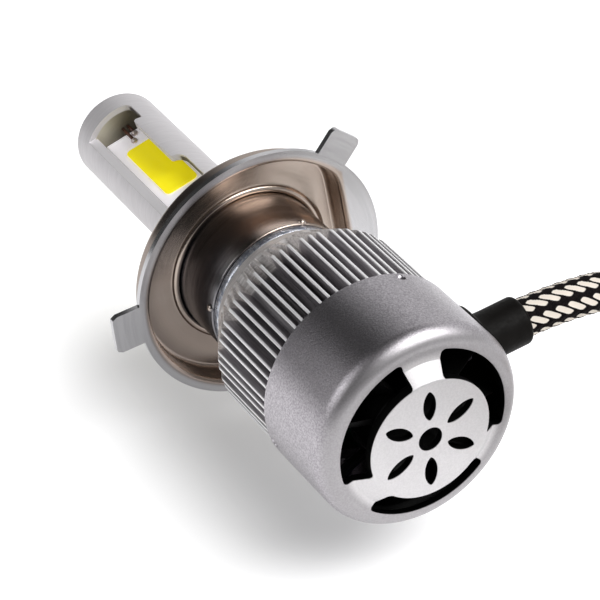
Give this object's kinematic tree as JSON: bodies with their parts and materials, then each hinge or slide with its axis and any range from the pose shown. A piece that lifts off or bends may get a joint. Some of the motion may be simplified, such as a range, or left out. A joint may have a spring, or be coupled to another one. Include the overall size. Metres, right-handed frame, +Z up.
{
  "type": "headlight bulb",
  "caption": "LED headlight bulb on a three-lug collar, with a finned heatsink, a fan housing with a slotted grille, and a braided lead to a bladed plug.",
  "frame": {"origin": "centre of the collar's flange, on its rear face", "axes": "+Y along the lamp axis towards the tip, +Z up as the bulb lies, +X towards the cable gland"},
  "size_m": [0.1243, 0.173, 0.0474],
  "materials": {
    "core_aluminium": "milled",
    "post_aluminium": "fine satin",
    "board_white": "white solder mask on a metal board",
    "phosphor": "yellow phosphor silicone",
    "solder": "bright solder",
    "enamelled_wire": "brown enamel",
    "collar_steel": "bright pressed stainless steel",
    "neck_aluminium": "turned",
    "seal_rubber": "matt",
    "ring_aluminium": "turned",
    "fin_aluminium": "satin crests, dark grooves",
    "pad_silicone": "matt",
    "card_green": "solder mask",
    "card_parts": "moulded",
    "lead_insulation": "semi-gloss",
    "housing_blasted": "sand-blasted, anodised silver",
    "frame_plastic": "moulded",
    "bearing_brass": "sintered",
    "stator_iron": "laminated",
    "coil_copper": "enamelled copper",
    "rotor_plastic": "moulded",
    "magnet": "bonded ferrite",
    "shaft_steel": "ground",
    "gland_rubber": "moulded, matt",
    "braid": "black net over cream strands",
    "tie_plastic": "ribbed",
    "relief_rubber": "moulded, matt",
    "plug_plastic": "moulded, fine grain",
    "blade_metal": "tinned"
  },
  "bodies": {
    "lamp": {"lamp_core": "core_aluminium", "lamp_tube": "post_aluminium", "board_upper": "board_white", "board_lower": "board_white", "phosphor_upper": "phosphor", "phosphor_lower": "phosphor", "solder_joints": "solder", "board_wires": "enamelled_wire", "neck_hub": "neck_aluminium", "neck_seal": "seal_rubber", "lock_ring": "ring_aluminium", "heatsink": "fin_aluminium", "thermal_pad": "pad_silicone", "driver_card": "card_green", "driver_parts": "card_parts", "inner_leads": "lead_insulation", "fan_housing": "housing_blasted", "fan_frame": "frame_plastic", "bearing_sleeve": "bearing_brass", "stator_core": "stator_iron", "stator_coils": "coil_copper", "cable_gland": "gland_rubber", "cord_lead": "braid", "cord_coil": "braid", "coil_tie": "tie_plastic", "cord_tail": "braid", "plug_relief": "relief_rubber", "plug_body": "plug_plastic", "plug_blades": "blade_metal"},
    "collar": {"flange_collar": "collar_steel"},
    "fan": {"rotor": "rotor_plastic", "rotor_magnet": "magnet", "rotor_shaft": "shaft_steel"}
  },
  "joints": [
    {"name": "collar_twist", "type": "hinge", "parent": "lamp", "child": "collar", "pos_m": [0, 0, 0], "axis": [0, 1, 0], "range_deg": [0, 30]},
    {"name": "fan_spin", "type": "hinge", "parent": "lamp", "child": "fan", "pos_m": [0, -0.0432, 0], "axis": [0, 1, 0], "continuous": true}
  ]
}
